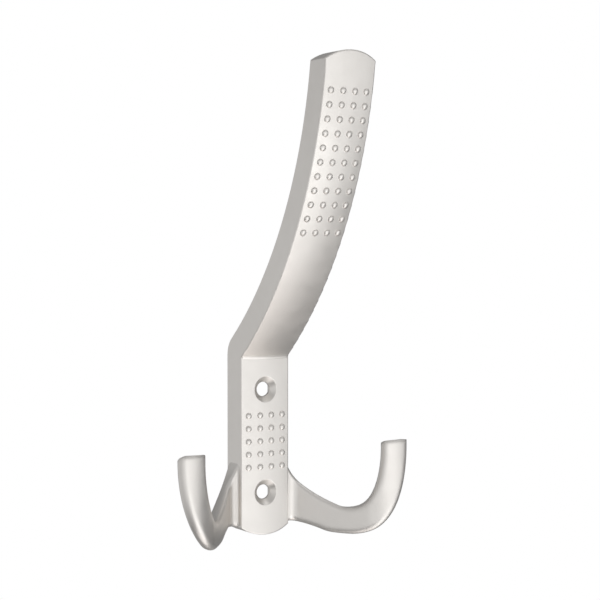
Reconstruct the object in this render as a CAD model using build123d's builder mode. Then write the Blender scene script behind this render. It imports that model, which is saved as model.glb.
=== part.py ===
"""Triple robe hook: one metal casting with a tall upper arm and two low side hooks.

Millimetres. The origin lies on the wall plane, midway between the two screw holes.
X runs to the right, Z runs up, and the casting stands out from the wall towards -Y.
"""

import os
from math import asin, atan2, copysign, cos, degrees, radians, sin, sqrt, tan

from build123d import *

# Bar: the upright strip that lies on the wall
bar_width = 17.0
plate_thickness = 9.4
crown_radius = 74.0
bar_low = -26.5
end_sagitta = 2.7
edge_radius = 0.45
end_radius = 0.35

# Arm: the bar's upper part, which bends away from the wall along one arc
arm_thickness = 8.8
arm_front_radius = 136.0
arm_centre_height = 131.0
arm_centre_behind = 77.0
arm_top = 112.9
back_bend_radius = 7.0

# Screw holes, and the hollow in the back around each of them
hole_spacing = 32.0
hole_diameter = 4.5
sink_diameter = 8.0
sink_angle = 90.0
hole_floor = 2.4
pocket_wall = 2.4
pocket_length = 15.0
pocket_corner = 2.0

# Raised dots
dot_pitch = 4.0
dot_diameter = 1.9
dot_top_diameter = 1.0
dot_height = 0.42
dot_sink = 0.3
dot_sides = 12
dot_columns = 4
plate_dot_rows = 5
arm_dot_rows = 11
arm_dot_top = 104.0

# Side hooks as seen from the front
hook_reach = 39.7
hook_low = -29.6
hook_tip = 0.2
finger_width = 8.4
bend_height = -2.1
outer_bend_run = 15.3
inner_bend_run = 7.9
throat_low = -21.6
throat_radius = 4.0
web_top = -4.2
web_sagitta = 3.4
web_low = -26.3
web_waist = (3.4, -26.4)
web_belly = (9.1, -28.3)
hook_embed = 2.5

# Side hooks as seen from above
hook_thickness = 4.4
hook_wall_gap = 0.4
heel_radius = 8.0
web_start = 3.8
web_root_radius = 0.6
web_land = 7.2
web_land_bend = 3.0
web_crest_thickness = 0.9
web_thickening = 0.2
finger_front = 30.8
finger_turn = 8.0
finger_bend_radius = 12.5

# Rounded edges of the side hooks
back_round = 2.2
tip_front_round = 0.6
tip_back_round = 6.1
tip_depth = 6.9
tip_side_round = 1.2
tip_corner_round = 3.6
tip_corner_angle = 45.0
tip_corner_spare = 0.15
tip_overrun = 0.05
outer_round = 1.8
ridge_round = 1.0

half_width = bar_width / 2
arm_back_radius = arm_front_radius - arm_thickness

# How far a face may lean, or an edge may slant, and still count as facing or running one way
facing = 0.3
leaning = 0.001
slanting = 0.5


def crown_fall(x):
    """How far the crowned front falls back at a distance x from the bar's middle line."""
    return crown_radius - sqrt(crown_radius**2 - x**2)


def crowned_section(back, front):
    """Section across the bar between two values of Y, with its front crowned."""
    shoulder = front + crown_fall(half_width)
    with BuildSketch() as section:
        with BuildLine():
            left = (-half_width, shoulder)
            right = (half_width, shoulder)
            Polyline(left, (-half_width, back), (half_width, back), right)
            ThreePointArc(right, (0, front), left)
        make_face()
        fillet(section.vertices().group_by(Axis.Y)[0], edge_radius)
    return section.sketch


def arm_y(radius, z):
    """Y at a height z of an arc about the arm's axis."""
    return arm_centre_behind - sqrt(radius**2 - (arm_centre_height - z) ** 2)


def spaced(count):
    """Places of a centred row of dots."""
    return [(i - (count - 1) / 2) * dot_pitch for i in range(count)]


def facing_wall(face):
    """Whether a face looks towards the wall."""
    return face.normal_at(face.center()).Y > facing


def upright_front(face):
    """Whether a face looks away from the wall and stands upright."""
    normal = face.normal_at(face.center())
    return normal.Y < -facing and abs(normal.Z) < leaning


def on_flank(edge):
    """Whether an edge runs along a side of the bar, and not across it."""
    return abs((edge % 0.5).X) < slanting


def on_outside(edge):
    """Whether an edge of a side hook lies on the outer side of its bend."""
    middle = edge @ 0.5
    under = middle.Z < throat_low - finger_width / 2
    return under or (middle.X > hook_reach - finger_width / 2 and middle.Z < hook_tip - ridge_round)


def rim(faces):
    """Edges around a group of faces, without the seams between them."""
    edges = [edge for face in faces for edge in face.edges()]
    return ShapeList(e for e in edges if sum(e.is_same(other) for other in edges) == 1)


def below_tip(edge):
    """Whether an edge of a side hook lies lower than the flat top of its finger."""
    return (edge @ 0.5).Z < hook_tip - ridge_round


def front_rim(built):
    """Edges around the upright front faces of a side hook, outside the bar."""
    return rim(built.faces().filter_by(upright_front)).filter_by(lambda e: (e @ 0.5).X > half_width)


def beside_top(plane, first, last, first_round, last_round):
    """What lies above and beside a flat top with two rounded ends, ready to be cut away."""
    drop = max(first_round, last_round) + tip_overrun
    with BuildSketch() as kept:
        with Locations(((first + last) / 2, -drop)):
            Rectangle(last - first, 2 * drop)
        fillet(kept.vertices().sort_by_distance((first, 0))[0], first_round)
        fillet(kept.vertices().sort_by_distance((last, 0))[0], last_round)
    with BuildPart() as beside:
        with BuildSketch(plane):
            with Locations(((first + last) / 2, 0)):
                Rectangle(last - first + 2 * drop, 2 * drop)
            add(kept.sketch, mode=Mode.SUBTRACT)
        extrude(amount=2 * finger_width, both=True)
    return beside.part


# Bar
bar_bottom = bar_low - end_sagitta
bar_peak = arm_top + end_sagitta
arm_heel = arm_centre_height - sqrt(arm_back_radius**2 - arm_centre_behind**2)
below = bar_bottom - end_sagitta
room = arm_front_radius
arm_arc = 90 - degrees(asin((arm_centre_behind - plate_thickness) / arm_front_radius))

with BuildPart() as bar:
    # The plate is the crowned section drawn straight up
    with BuildSketch(Plane.XY.offset(below)):
        add(crowned_section(0, -plate_thickness))
    extrude(amount=arm_heel + arm_thickness / 2 - below)

    # The arm is a crowned section turned about an axis behind the wall
    with BuildSketch(Plane.XY.offset(arm_centre_height)):
        add(crowned_section(arm_centre_behind - arm_back_radius, arm_centre_behind - arm_front_radius))
    arm_axis = Axis((0, arm_centre_behind, arm_centre_height), (1, 0, 0))
    revolve(axis=arm_axis, revolution_arc=arm_arc)

    # Side view: the wall plane, then the back of the arm above it
    with BuildSketch(Plane.YZ) as side_view:
        with BuildLine():
            heel = (0, arm_heel)
            middle = (arm_y(arm_back_radius, arm_top / 2), arm_top / 2)
            peak = (arm_y(arm_back_radius, arm_centre_height), arm_centre_height)
            Line((0, below), heel)
            ThreePointArc(heel, middle, peak)
            Polyline(peak, (-room, arm_centre_height), (-room, below), (0, below))
        make_face()
        fillet(side_view.vertices().sort_by_distance(heel)[0], back_bend_radius)
    extrude(amount=bar_width, both=True, mode=Mode.INTERSECT)

    # Front view: both ends are shallow arcs
    with BuildSketch(Plane.XZ):
        with BuildLine():
            Line((half_width, bar_low), (half_width, arm_top))
            ThreePointArc((half_width, arm_top), (0, bar_peak), (-half_width, arm_top))
            Line((-half_width, arm_top), (-half_width, bar_low))
            ThreePointArc((-half_width, bar_low), (0, bar_bottom), (half_width, bar_low))
        make_face()
    extrude(amount=room, mode=Mode.INTERSECT)

    # The back edges and both ends are softened
    back_edges = bar.faces().filter_by(facing_wall).edges()
    outermost = half_width - edge_radius
    fillet(back_edges.filter_by(lambda e: abs((e @ 0.5).X) > outermost and on_flank(e)), edge_radius)
    fillet(bar.faces().sort_by(Axis.Z)[-1].edges(), end_radius)
    fillet(bar.faces().sort_by(Axis.Z)[0].edges(), end_radius)

# Side hook on the right: its outline seen from the front, crossed with its outline seen from above
inside = half_width - hook_embed
finger_inside = hook_reach - finger_width
outer_middle = hook_reach - outer_bend_run
inner_middle = finger_inside - inner_bend_run
corner_x = finger_inside
slope = atan2(finger_front - web_start, corner_x - half_width)
turn = radians(finger_turn)
corner_shift = hook_thickness / cos((slope + turn) / 2)
back_corner_x = corner_x + corner_shift * sin((slope - turn) / 2)
back_corner_y = corner_shift * cos((slope - turn) / 2) - finger_front
end_x = hook_reach + finger_width
heel_x = back_corner_x - (-back_corner_y - hook_wall_gap) / tan(slope)
root_front = web_land + web_root_radius + edge_radius / 4

# Cuts that round the finger's top, seen from the side and from the front
finger_middle = (finger_inside + hook_reach) / 2
tip_corner = (corner_x, -finger_front, hook_tip)
side_on = Plane(tip_corner, x_dir=(-sin(turn), cos(turn), 0), z_dir=(cos(turn), sin(turn), 0))
tip_from_side = beside_top(side_on, -tip_overrun, tip_depth, tip_front_round, tip_back_round)
half_finger = finger_width / 2 + tip_overrun
front_on = Plane((finger_middle, -finger_front, hook_tip), x_dir=(1, 0, 0), z_dir=(0, -1, 0))
tip_from_front = beside_top(front_on, -half_finger, half_finger, tip_side_round, tip_side_round)

# Cuts that round the two back corners of the finger's top, each along its own diagonal
diagonal = radians(tip_corner_angle)
tip_corners = []
outer_depth = (hook_reach - corner_x) * tan(turn) + hook_thickness / cos(turn)
for across, depth in ((half_finger, outer_depth), (-half_finger, tip_depth)):
    corner_cut = back_round * (cos(diagonal) + sin(diagonal) - 1)
    reach = abs(across) * cos(diagonal) + depth * sin(diagonal) - corner_cut + tip_corner_spare
    way = (copysign(cos(diagonal), across), sin(diagonal), 0)
    corner_on = Plane(front_on.origin, x_dir=way, z_dir=(way[1], -way[0], 0))
    tip_corners.append(beside_top(corner_on, -end_x, reach, tip_front_round, tip_corner_round))

# Cut along the back of the web, which grows thinner towards its crest
web_run = (inner_middle - half_width) / cos(slope) + 2 * hook_embed
root_x = half_width - 2 * hook_embed * cos(slope)
root_y = 2 * hook_embed * sin(slope) - web_start
back_on = (sin(slope), cos(slope), 0)
across_web = Plane((root_x, root_y, 0), x_dir=back_on, z_dir=(cos(slope), -sin(slope), 0))

with BuildPart() as behind_web:
    with BuildSketch(across_web):
        with BuildLine():
            thin = (web_crest_thickness + web_thickening * (web_top - hook_tip), hook_tip)
            thick = (web_crest_thickness + web_thickening * (web_top - throat_low), throat_low)
            Polyline(thin, thick, (finger_front, throat_low), (finger_front, hook_tip), close=True)
        make_face()
    extrude(amount=web_run)

with BuildPart() as hook:
    with BuildSketch(Plane.XZ) as front_view:
        with BuildLine():
            low_start = (inside, web_low - hook_embed / 2)
            top_start = (inside, web_top + 2 * hook_embed)
            waist = (half_width + web_waist[0], web_waist[1])
            belly = (half_width + web_belly[0], web_belly[1])
            Spline(low_start, waist, belly, (outer_middle, hook_low), tangents=((2, 1), (1, 0)))
            outer_drop = bend_height - hook_low
            EllipticalCenterArc((outer_middle, bend_height), outer_bend_run, outer_drop, 270, arc_size=90)
            Polyline(
                (hook_reach, bend_height),
                (hook_reach, hook_tip + tip_side_round),
                (finger_inside, hook_tip + tip_side_round),
                (finger_inside, bend_height),
            )
            inner_drop = bend_height - throat_low
            EllipticalCenterArc((inner_middle, bend_height), inner_bend_run, inner_drop, 270, arc_size=90)
            SagittaArc((inner_middle, throat_low), top_start, web_sagitta)
            Line(top_start, low_start)
        make_face()
        fillet(front_view.vertices().sort_by_distance((inner_middle, throat_low))[0], throat_radius)
    extrude(amount=room)

    with BuildSketch(Plane.XY.offset(hook_low - finger_width)) as top_view:
        with BuildLine():
            root = (half_width, -web_land)
            land_end = (half_width + (web_land - web_start) / tan(slope), -web_land)
            corner = (corner_x, -finger_front)
            back_corner = (back_corner_x, back_corner_y)
            heel = (heel_x, -hook_wall_gap)
            Polyline(
                (inside, -hook_wall_gap),
                (inside, -root_front),
                (half_width, -root_front),
                root,
                land_end,
                corner,
                (end_x, (end_x - corner_x) * tan(turn) - finger_front),
                (end_x, (end_x - back_corner_x) * tan(turn) + back_corner_y),
                back_corner,
                heel,
                close=True,
            )
        make_face()
        rounds = {
            root: web_root_radius,
            land_end: web_land_bend,
            corner: finger_bend_radius,
            back_corner: finger_bend_radius - hook_thickness,
            heel: heel_radius,
        }
        for place, radius in rounds.items():
            fillet(top_view.vertices().sort_by_distance(place)[0], radius)
    extrude(amount=hook_tip - hook_low + 2 * finger_width, mode=Mode.INTERSECT)

    # A round back, and a front edge that is softer outside than inside
    back_rim = rim(hook.faces().filter_by(facing_wall)).filter_by(below_tip)
    fillet(back_rim.filter_by(lambda e: (e @ 0.5).X > inside + ridge_round), back_round)
    fillet(front_rim(hook).filter_by(on_outside), outer_round)
    fillet(front_rim(hook).filter_by(lambda e: below_tip(e) and not on_outside(e)), ridge_round)

    # The web, thinner towards its crest
    add(behind_web.part, mode=Mode.SUBTRACT)

    # The finger's top, rounded at its front, back and sides
    add(tip_from_side, mode=Mode.SUBTRACT)
    add(tip_from_front, mode=Mode.SUBTRACT)
    for beside_corner in tip_corners:
        add(beside_corner, mode=Mode.SUBTRACT)

# Dots: low studs that stand square on the crowned faces of the plate and the arm
dot_slope = atan2((dot_diameter - dot_top_diameter) / 2, dot_height)
dot_foot = dot_diameter / 2 + dot_sink * tan(dot_slope)
dot_planes = []
for x in spaced(dot_columns):
    sideways = Vector(x / crown_radius, 0, 0)
    straight = sqrt(1 - sideways.X**2)
    for z in spaced(plate_dot_rows):
        outward = sideways + Vector(0, -straight, 0)
        seat = Vector(x, crown_fall(x) - plate_thickness, z)
        dot_planes.append(Plane(seat - outward * dot_sink, z_dir=outward))
    radius = arm_front_radius - crown_fall(x)
    for row in range(arm_dot_rows):
        z = arm_dot_top - row * dot_pitch
        seat = Vector(x, arm_y(radius, z), z)
        spoke = seat - Vector(x, arm_centre_behind, arm_centre_height)
        outward = sideways + spoke.normalized() * straight
        dot_planes.append(Plane(seat - outward * dot_sink, z_dir=outward))

# Casting: bar, hooks and dots, with the screw holes and the hollows behind them
hole_heights = (hole_spacing / 2, -hole_spacing / 2)

with BuildPart() as casting:
    add(bar.part)
    add(hook.part)
    mirror(hook.part, about=Plane.YZ)
    with BuildSketch(*dot_planes):
        RegularPolygon(dot_foot, dot_sides)
    extrude(amount=dot_sink + dot_height, taper=degrees(dot_slope))
    with Locations(Plane((0, -plate_thickness, 0), x_dir=(1, 0, 0), z_dir=(0, -1, 0))):
        with Locations([(0, z) for z in hole_heights]):
            CounterSinkHole(hole_diameter / 2, sink_diameter / 2, plate_thickness, sink_angle)
    with BuildSketch(Plane.XZ):
        with Locations([(0, z) for z in hole_heights]):
            RectangleRounded(bar_width - 2 * pocket_wall, pocket_length, pocket_corner)
    extrude(amount=plate_thickness - hole_floor, mode=Mode.SUBTRACT)

casting.part.label = "hook_casting"
os.makedirs("parts", exist_ok=True)
export_step(casting.part, "parts/hook_casting.step")
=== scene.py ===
# %% [markdown]
# # A triple robe hook in satin nickel
#
# The real object is one zinc casting with a satin nickel finish. A flat strip is screwed to
# the wall, its upper part leans out as a tall arm, and a low hook turns up on each side. The
# drawing already holds the whole casting, so this lesson adds what a drawing leaves out: the
# finish, the hollow curve in the crease, the round tops of the raised dots, the light and the
# camera.

# %% Load the drawing
import bpy
import bmesh
from math import cos, pi, radians, sin, sqrt
from mathutils import Matrix, Vector
from mathutils.bvhtree import BVHTree


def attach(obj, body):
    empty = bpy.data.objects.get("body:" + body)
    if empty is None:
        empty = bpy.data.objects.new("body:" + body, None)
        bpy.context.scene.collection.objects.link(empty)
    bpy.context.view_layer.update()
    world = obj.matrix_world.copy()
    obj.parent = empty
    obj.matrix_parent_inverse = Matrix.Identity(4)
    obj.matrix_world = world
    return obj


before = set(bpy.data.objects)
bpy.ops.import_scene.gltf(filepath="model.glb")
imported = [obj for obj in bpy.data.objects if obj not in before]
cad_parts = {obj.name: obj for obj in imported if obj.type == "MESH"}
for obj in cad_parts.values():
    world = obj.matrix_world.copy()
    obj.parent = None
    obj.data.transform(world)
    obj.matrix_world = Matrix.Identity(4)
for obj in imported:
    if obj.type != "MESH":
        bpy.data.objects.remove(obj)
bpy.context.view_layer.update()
MM = 0.001
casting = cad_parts["hook_casting"]

# %% [markdown]
# ## The camera
#
# The photograph is taken from the left of the hook, about 31 degrees round and almost level,
# with a long lens. A camera can be turned by angles or aimed with a constraint. Here its three
# axes are written straight into its matrix, which leaves nothing to be solved later.

# %% Aim the camera
CAMERA_PLACE = Vector((-0.2447, -0.4295, 0.0605))
VIEW_DIRECTION = Vector((0.5217, 0.8524, -0.0346)).normalized()
LENS = 94.5
SENSOR = 36.0
NEAR_LIMIT = 0.01
FAR_LIMIT = 20.0


def facing_matrix(place, direction):
    """A matrix at place whose -Z axis looks along direction and whose Y axis points up."""
    turn = direction.to_track_quat("-Z", "Y")
    return Matrix.Translation(place) @ turn.to_matrix().to_4x4()


camera_data = bpy.data.cameras.new("studio_camera")
camera_data.lens = LENS
camera_data.sensor_width = SENSOR
camera_data.clip_start = NEAR_LIMIT
camera_data.clip_end = FAR_LIMIT
camera = bpy.data.objects.new("studio_camera", camera_data)
camera.matrix_world = facing_matrix(CAMERA_PLACE, VIEW_DIRECTION)
bpy.context.scene.collection.objects.link(camera)
bpy.context.scene.camera = camera
print("camera stands", round(CAMERA_PLACE.length, 3), "m from the middle of the plate")

# %% [markdown]
# ## The white backdrop
#
# Behind the hook hangs a plain white sheet. A lit sheet would also throw light round the
# object and burn out its edges. This one glows white only for the camera, for reflections and
# for glass, and is a plain matt sheet for the rest of the light. From behind it is see-through,
# so that the back of the hook can be looked at. Its nodes could be placed one by one in the
# shader editor. Two helpers, which every later finish uses too, keep them a short list of what
# feeds what.


# %% Start the backdrop's finish
def add_node(tree, kind, inputs=None, **settings):
    """Adds a node, sets its properties, then sets or links its inputs."""
    node = tree.nodes.new(kind)
    for name, value in settings.items():
        setattr(node, name, value)
    for name, value in (inputs or {}).items():
        if isinstance(value, bpy.types.NodeSocket):
            tree.links.new(value, node.inputs[name])
        else:
            node.inputs[name].default_value = value
    return node


def blank_finish(name):
    """A material with no nodes yet but its output."""
    finish = bpy.data.materials.new(name)
    finish.use_nodes = True
    finish.node_tree.nodes.clear()
    return finish, add_node(finish.node_tree, "ShaderNodeOutputMaterial")


backdrop_finish, output = blank_finish("backdrop_white")
tree = backdrop_finish.node_tree
print("blank finish:", [node.name for node in tree.nodes])

# %% Let it glow for the camera
BACKDROP_GLOW = (1, 1, 1, 1)
BACKDROP_MATT = (0.8, 0.8, 0.8, 1.0)

path = add_node(tree, "ShaderNodeLightPath")
seen = path.outputs["Is Camera Ray"]
for way in ("Is Glossy Ray", "Is Transmission Ray"):
    either = add_node(tree, "ShaderNodeMath", {0: seen, 1: path.outputs[way]}, operation="MAXIMUM")
    seen = either.outputs[0]
glow = add_node(tree, "ShaderNodeEmission", {"Color": BACKDROP_GLOW, "Strength": 1.0})
matt = add_node(tree, "ShaderNodeBsdfDiffuse", {"Color": BACKDROP_MATT})
front = add_node(tree, "ShaderNodeMixShader", {0: seen, 1: matt.outputs[0], 2: glow.outputs[0]})
clear = add_node(tree, "ShaderNodeBsdfTransparent")
facing = add_node(tree, "ShaderNodeNewGeometry")
sheet_sides = {0: facing.outputs["Backfacing"], 1: front.outputs[0], 2: clear.outputs[0]}
both_sides = add_node(tree, "ShaderNodeMixShader", sheet_sides)
tree.links.new(both_sides.outputs[0], output.inputs["Surface"])
print(backdrop_finish.name, "has", len(tree.nodes), "nodes")

# %% Hang the backdrop
BACKDROP_DISTANCE = 3.0
BACKDROP_HALF = 0.60


def flat_sheet(name, half, finish):
    """A square sheet that faces its own +Z, with half its side given."""
    mesh = bpy.data.meshes.new(name)
    corners = [(-half, -half, 0), (half, -half, 0), (half, half, 0), (-half, half, 0)]
    mesh.from_pydata(corners, [], [(0, 1, 2, 3)])
    mesh.materials.append(finish)
    thing = bpy.data.objects.new(name, mesh)
    bpy.context.scene.collection.objects.link(thing)
    return thing


backdrop = flat_sheet("backdrop", BACKDROP_HALF, backdrop_finish)
hung_at = CAMERA_PLACE + VIEW_DIRECTION * BACKDROP_DISTANCE
backdrop.matrix_world = facing_matrix(hung_at, VIEW_DIRECTION)
print("backdrop:", 2 * BACKDROP_HALF, "m square")

# %% [markdown]
# ## The floor
#
# The hook hangs on a wall, so no floor shows in the picture. A pale one lies well below all the
# same, because metal is lit by whatever it reflects, and the undersides of the hooks look down
# on it. One flat colour would do for that, but faint cloudy patches keep it from looking dead.

# %% Mix the floor's finish
FLOOR_PALE = (0.60, 0.595, 0.59, 1.0)
FLOOR_SHADE = (0.54, 0.535, 0.53, 1.0)
FLOOR_CLOUDS = {"Scale": 6.0, "Detail": 3.0}


def mixed_tones(tree, share, first, second):
    """A colour between two others."""
    mix = add_node(tree, "ShaderNodeMix", {"Factor": share}, data_type="RGBA")
    for name, tone in (("A", first), ("B", second)):
        socket = [s for s in mix.inputs if s.name == name and s.type == "RGBA"][0]
        if isinstance(tone, bpy.types.NodeSocket):
            tree.links.new(tone, socket)
        else:
            socket.default_value = tone
    return [s for s in mix.outputs if s.type == "RGBA"][0]


floor_finish, output = blank_finish("floor_pale")
tree = floor_finish.node_tree
place = add_node(tree, "ShaderNodeTexCoord").outputs["Object"]
clouds = add_node(tree, "ShaderNodeTexNoise", {"Vector": place, **FLOOR_CLOUDS})
pale = mixed_tones(tree, clouds.outputs[0], FLOOR_SHADE, FLOOR_PALE)
matt = add_node(tree, "ShaderNodeBsdfDiffuse", {"Color": pale})
tree.links.new(matt.outputs[0], output.inputs["Surface"])
print(floor_finish.name, "has", len(tree.nodes), "nodes")

# %% Lay the floor
FLOOR_HEIGHT = -1.2
FLOOR_HALF = 1.5

floor = flat_sheet("floor", FLOOR_HALF, floor_finish)
floor.location = (0, 0, FLOOR_HEIGHT)
print("floor:", -FLOOR_HEIGHT, "m below the plate's middle")

# %% [markdown]
# ## The room
#
# Satin metal has almost no colour of its own. What shows on it is the room, blurred. The room
# here is a soft grey: lightest on the left and below, a little darker overhead and in front,
# darker still behind, and almost dark on the right. An image of a studio could be wrapped round
# the scene. Six soft patches, one along each axis, do the same with one number each, because
# the squares of a direction's three parts always add up to one.

# %% Choose the greys
ROOM_GREYS = {
    "left": ((-1, 0, 0), 0.66),
    "right": ((1, 0, 0), 0.08),
    "back": ((0, 1, 0), 0.22),
    "front": ((0, -1, 0), 0.45),
    "up": ((0, 0, 1), 0.50),
    "down": ((0, 0, -1), 0.65),
}

world = bpy.data.worlds.new("studio_room")
bpy.context.scene.world = world
world.use_nodes = True
tree = world.node_tree
tree.nodes.clear()
sight = add_node(tree, "ShaderNodeTexCoord").outputs["Generated"]
print("room greys:", {side: grey for side, (axis, grey) in ROOM_GREYS.items()})

# %% Paint the room
SQUARED = 2.0


def patch(axis, grey):
    """A soft patch of light that fades to nothing a quarter turn from its axis."""
    dot = add_node(tree, "ShaderNodeVectorMath", {0: sight, 1: axis}, operation="DOT_PRODUCT")
    ahead = add_node(tree, "ShaderNodeMath", {0: dot.outputs["Value"], 1: 0.0}, operation="MAXIMUM")
    fade = add_node(tree, "ShaderNodeMath", {0: ahead.outputs[0], 1: SQUARED}, operation="POWER")
    return add_node(tree, "ShaderNodeMath", {0: fade.outputs[0], 1: grey}, operation="MULTIPLY")


total = None
for axis, grey in ROOM_GREYS.values():
    part = patch(axis, grey).outputs[0]
    if total is not None:
        part = add_node(tree, "ShaderNodeMath", {0: total, 1: part}, operation="ADD").outputs[0]
    total = part
air = add_node(tree, "ShaderNodeBackground", {"Color": total, "Strength": 1.0})
room_output = add_node(tree, "ShaderNodeOutputWorld")
tree.links.new(air.outputs[0], room_output.inputs["Surface"])
print(world.name, "has", len(ROOM_GREYS), "patches in", len(tree.nodes), "nodes")

# %% [markdown]
# ## The lamps
#
# The bright, even front of the hook comes from large soft boxes in front of it and below, where
# the strongest two stand. The lowest is a little warm, like light thrown back by a wooden table.
# Weaker boxes at the sides, high up and behind keep the edges there from going flat. Small lamps
# would draw hard streaks on satin metal, and large ones draw a broad, slow sheen. A lamp's
# strength is worked out from how bright its face should look, so that it stays right when its
# size is changed.

# %% Set up the front box
LIT_POINT = Vector((0.0, -0.01, 0.04))
LAMP_DISTANCE = 1.0
WHITE = (1.0, 1.0, 1.0)


def soft_box(name, azimuth, elevation, size, brightness, tint=WHITE):
    """A soft box that faces the hook. Azimuth 0 is straight in front and 90 to the right."""
    turn, rise = radians(azimuth), radians(elevation)
    out = Vector((sin(turn) * cos(rise), -cos(turn) * cos(rise), sin(rise)))
    lamp = bpy.data.lights.new(name, "AREA")
    lamp.shape = "RECTANGLE"
    lamp.size, lamp.size_y = size
    lamp.energy = brightness * pi * size[0] * size[1]
    lamp.color = tint
    box = bpy.data.objects.new(name, lamp)
    box.matrix_world = facing_matrix(LIT_POINT + out * LAMP_DISTANCE, -out)
    box.visible_camera = False
    bpy.context.scene.collection.objects.link(box)
    print(name, "gives", round(lamp.energy, 2), "W")


soft_box("front_box", azimuth=0, elevation=0, size=(0.8, 0.7), brightness=0.82)

# %% Set up the other boxes
WARM = (1.0, 0.955, 0.935)

soft_box("front_right_box", azimuth=38, elevation=0, size=(0.6, 0.6), brightness=0.74)
soft_box("right_box", azimuth=80, elevation=8, size=(0.6, 0.8), brightness=0.30)
soft_box("low_box", azimuth=16, elevation=-40, size=(0.8, 0.75), brightness=1.3)
soft_box("under_box", azimuth=12, elevation=-78, size=(0.8, 0.65), brightness=1.12, tint=WARM)
soft_box("front_left_box", azimuth=-42, elevation=-8, size=(0.7, 0.7), brightness=0.42)
soft_box("left_back_box", azimuth=-150, elevation=-8, size=(0.9, 0.9), brightness=0.32)
soft_box("high_right_box", azimuth=60, elevation=60, size=(0.7, 0.6), brightness=0.76)

# %% [markdown]
# ## Satin nickel
#
# The casting is blasted with fine grit and plated, which leaves a warm light grey with a soft
# sheen. An image of grit could be laid over it, but a noise pattern in the object's own space
# needs no unwrapping and stays the same size everywhere. Three layers are used: grain a fifth
# of a millimetre across as a bump and a faint speckle, cloudy patches a few millimetres wide in
# the roughness, and a slow drift in the tone. Grit also takes the last sharpness off every
# edge, so the shading is softened next to edges: a little on the bar, and more on the fingers
# of the side hooks, which are polished round.

# %% Grain, patches and drift
GRAIN_SCALE = 5200.0
PATCH_SCALE = 260.0
DRIFT_SCALE = 38.0

nickel, output = blank_finish("satin_nickel")
tree = nickel.node_tree
place = add_node(tree, "ShaderNodeTexCoord").outputs["Object"]


def pattern(scale, detail, roughness):
    """A noise pattern in the object's own space."""
    values = {"Vector": place, "Scale": scale, "Detail": detail, "Roughness": roughness}
    return add_node(tree, "ShaderNodeTexNoise", values).outputs[0]


grain = pattern(GRAIN_SCALE, detail=2.0, roughness=0.6)
patches = pattern(PATCH_SCALE, detail=4.0, roughness=0.55)
drift = pattern(DRIFT_SCALE, detail=2.0, roughness=0.5)
print("grain about", round(1 / GRAIN_SCALE / MM, 2), "mm across")

# %% Softened edges
BAR_SOFTNESS = 0.35 * MM
FINGER_SOFTNESS = 2.2 * MM
WEB_FROM = 11.0 * MM
WEB_TO = 16.0 * MM
EDGE_SAMPLES = 8
GRAIN_STRENGTH = 0.35
GRAIN_DEPTH = 0.02 * MM


def stretched(value, low, high, first, last):
    """Values between low and high, stretched to run from first to last."""
    limits = {"From Min": low, "From Max": high, "To Min": first, "To Max": last}
    return add_node(tree, "ShaderNodeMapRange", {"Value": value, **limits}).outputs[0]


spread = add_node(tree, "ShaderNodeSeparateXYZ", {"Vector": place}).outputs["X"]
sideways = add_node(tree, "ShaderNodeMath", {0: spread}, operation="ABSOLUTE").outputs[0]
softness = stretched(sideways, WEB_FROM, WEB_TO, BAR_SOFTNESS, FINGER_SOFTNESS)
soft_edges = add_node(tree, "ShaderNodeBevel", {"Radius": softness}, samples=EDGE_SAMPLES)
grit_values = {"Height": grain, "Strength": GRAIN_STRENGTH, "Distance": GRAIN_DEPTH}
grit = add_node(tree, "ShaderNodeBump", {**grit_values, "Normal": soft_edges.outputs[0]})
print("edges are softened over", BAR_SOFTNESS / MM, "to", FINGER_SOFTNESS / MM, "mm")

# %% Mix the satin nickel
NICKEL_LIGHT = (0.80, 0.775, 0.745, 1.0)
NICKEL_DEEP = (0.735, 0.71, 0.68, 1.0)
PATCH_LOW = 0.3
PATCH_HIGH = 0.7
SATIN_SMOOTH = 0.36
SATIN_ROUGH = 0.44

speckle = mixed_tones(tree, grain, NICKEL_DEEP, NICKEL_LIGHT)
tone = mixed_tones(tree, drift, NICKEL_DEEP, speckle)
satin = stretched(patches, PATCH_LOW, PATCH_HIGH, SATIN_SMOOTH, SATIN_ROUGH)
surface = {"Base Color": tone, "Metallic": 1.0, "Roughness": satin, "Normal": grit.outputs[0]}
metal = add_node(tree, "ShaderNodeBsdfPrincipled", surface)
tree.links.new(metal.outputs[0], output.inputs["Surface"])
casting.material_slots[0].material = nickel
print("satin nickel on", casting.name)

# %% [markdown]
# ## The crease
#
# Where the arm leans out of the plate, a casting is never quite sharp: the corner is filled
# with a small hollow curve that catches a thin line of light. It could be cut into the drawing,
# but a sliver of metal laid into the corner does it without touching the casting. The corner is
# found by looking straight at the drawing's front and halving the stretch between two heights
# until only the place is left where the face stops being upright. The sliver is so thin that
# softened edges would draw dark lines along it, so its nickel is a copy without them.

# %% Look straight at the front
LOOK_FROM = -0.2

skin = BVHTree.FromObject(casting, bpy.context.evaluated_depsgraph_get())


def front_at(across, height):
    """Where the front of the casting lies at a place, and which way it faces."""
    place, outward, _, _ = skin.ray_cast(Vector((across, LOOK_FROM, height)), Vector((0, 1, 0)))
    return place, outward


print("plate's front at its middle, in mm:", round(front_at(0.0, 0.0)[0].y / MM, 2))

# %% Find the crease
CREASE_STATIONS = 35
CREASE_HALF = 8.47 * MM
CREASE_BETWEEN = (18.5 * MM, 40.0 * MM)
HALVINGS = 24
UPRIGHT = 0.2


def crease_height(across):
    """The height at which the front stops being upright."""
    low, high = CREASE_BETWEEN
    for _ in range(HALVINGS):
        middle = (low + high) / 2
        if abs(front_at(across, middle)[1].z) < UPRIGHT:
            low = middle
        else:
            high = middle
    return low


stations = [CREASE_HALF * (2 * i / (CREASE_STATIONS - 1) - 1) for i in range(CREASE_STATIONS)]
print("crease height in mm:", round(crease_height(0.0) / MM, 2))

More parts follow.
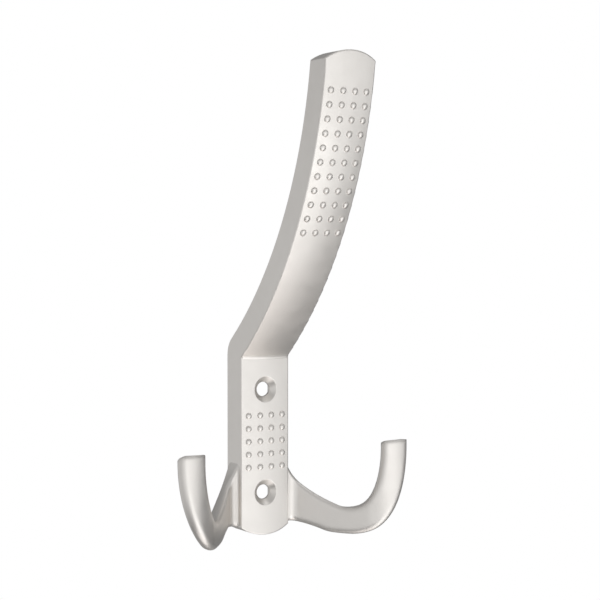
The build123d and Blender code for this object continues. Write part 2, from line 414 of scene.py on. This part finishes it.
# %% Draw the sections of the fill
CREASE_LEG = 0.75 * MM
CREASE_STEPS = 8
CREASE_SINK = 0.03 * MM
RIM_SINK = 0.003 * MM


def crease_section(across):
    """Points across the filled corner: up its hollow front, then back into the corner."""
    height = crease_height(across)
    corner, facing_plate = front_at(across, height - CREASE_SINK)
    above, facing_arm = front_at(across, height + CREASE_LEG)
    along_arm = (above - corner).normalized()
    foot = corner - Vector((0, 0, CREASE_LEG))
    head = corner + along_arm * CREASE_LEG
    points = []
    for step in range(CREASE_STEPS + 1):
        t = step / CREASE_STEPS
        points.append((1 - t) ** 2 * foot + 2 * t * (1 - t) * corner + t**2 * head)
    points[0] = foot - facing_plate * RIM_SINK
    points[-1] = head - facing_arm * RIM_SINK
    return points + [corner - (facing_plate + facing_arm) * CREASE_SINK]


sections = [crease_section(across) for across in stations]
print("fill:", len(sections), "sections of", len(sections[0]), "points")

# %% Join the sections
fill = bmesh.new()
rows = [[fill.verts.new(point) for point in section] for section in sections]
for left, right in zip(rows, rows[1:]):
    for i in range(len(left)):
        after = (i + 1) % len(left)
        strip = fill.faces.new((left[i], right[i], right[after], left[after]))
        strip.smooth = i < CREASE_STEPS
fill.faces.new(rows[0])
fill.faces.new(rows[-1][::-1])
bmesh.ops.recalc_face_normals(fill, faces=fill.faces)
print("fill:", len(fill.faces), "faces")


# %% Lay the sliver in
def finished_piece(mesh, name, finish):
    """Turns a mesh in the making into a piece of the casting."""
    data = bpy.data.meshes.new(name)
    mesh.to_mesh(data)
    mesh.free()
    data.materials.append(finish)
    piece = bpy.data.objects.new(name, data)
    bpy.context.scene.collection.objects.link(piece)
    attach(piece, "root")
    print(name, "has", len(data.polygons), "faces")


sliver_nickel = nickel.copy()
sliver_nickel.name = "satin_nickel_crease"
for link in list(sliver_nickel.node_tree.links):
    if link.from_node.bl_idname == "ShaderNodeBevel":
        sliver_nickel.node_tree.links.remove(link)
finished_piece(fill, "crease_fill", sliver_nickel)

# %% [markdown]
# ## The raised dots
#
# Small round dots stand on the plate and on the upper arm. The drawing has them as low studs
# with twelve flat sides, which is enough for a tool but not for a close look. Each could be a
# squashed ball, with its lower half hidden in the metal. A dome without that half is drawn as a
# profile turned about its axis instead, and a copy is set over each stud. The seat of each stud
# is found by looking straight at the face of the drawing.

# %% Find the studs
DOT_PITCH = 4.0 * MM
DOT_COLUMNS = 4
PLATE_DOT_ROWS = 5
ARM_DOT_ROWS = 11
ARM_TOP_ROW = 104.0 * MM
STUD_HEIGHT = 0.42 * MM

plate_rows = [(row - (PLATE_DOT_ROWS - 1) / 2) * DOT_PITCH for row in range(PLATE_DOT_ROWS)]
arm_rows = [ARM_TOP_ROW - row * DOT_PITCH for row in range(ARM_DOT_ROWS)]
studs = []
for column in range(DOT_COLUMNS):
    across = (column - (DOT_COLUMNS - 1) / 2) * DOT_PITCH
    for height in plate_rows + arm_rows:
        top, outward = front_at(across, height)
        studs.append((top - outward * STUD_HEIGHT, outward))
print("studs found:", len(studs))

# %% Draw one dome
DOME_RADIUS = 1.0 * MM
DOME_HEIGHT = 0.56 * MM
DOME_FULLNESS = 2.1
DOME_SINK = 0.04 * MM
DOME_RINGS = 9
DOME_SIDES = 28

dome_profile = []
for ring in range(1, DOME_RINGS + 1):
    share = sin(ring / DOME_RINGS * pi / 2)
    dome_profile.append((DOME_RADIUS * share, DOME_HEIGHT * sqrt(1 - share**DOME_FULLNESS)))
dome_profile.append((DOME_RADIUS, -DOME_SINK))
print("dome profile in mm:", [[round(value / MM, 2) for value in ring] for ring in dome_profile])


# %% Set a dome over each stud
def add_dome(mesh, seat, outward):
    """Adds one dome to a mesh, standing on seat along outward."""
    turn = outward.to_track_quat("Z", "Y").to_matrix()
    crown = mesh.verts.new(seat + turn @ Vector((0, 0, DOME_HEIGHT)))
    angles = [2 * pi * side / DOME_SIDES for side in range(DOME_SIDES)]
    rings = []
    for radius, height in dome_profile:
        points = [Vector((radius * cos(a), radius * sin(a), height)) for a in angles]
        rings.append([mesh.verts.new(seat + turn @ point) for point in points])
    for side in range(DOME_SIDES):
        after = (side + 1) % DOME_SIDES
        mesh.faces.new((crown, rings[0][side], rings[0][after])).smooth = True
        for inner, outer in zip(rings, rings[1:]):
            corners = (inner[side], outer[side], outer[after], inner[after])
            mesh.faces.new(corners).smooth = True
    mesh.faces.new(rings[-1][::-1])


domes = bmesh.new()
for seat, outward in studs:
    add_dome(domes, seat, outward)
finished_piece(domes, "raised_dots", nickel)

# %% [markdown]
# ## Finish
#
# The picture is shown as the light gives it, with no film look over it.

# %% Show the picture plainly
bpy.context.scene.view_settings.view_transform = "Standard"
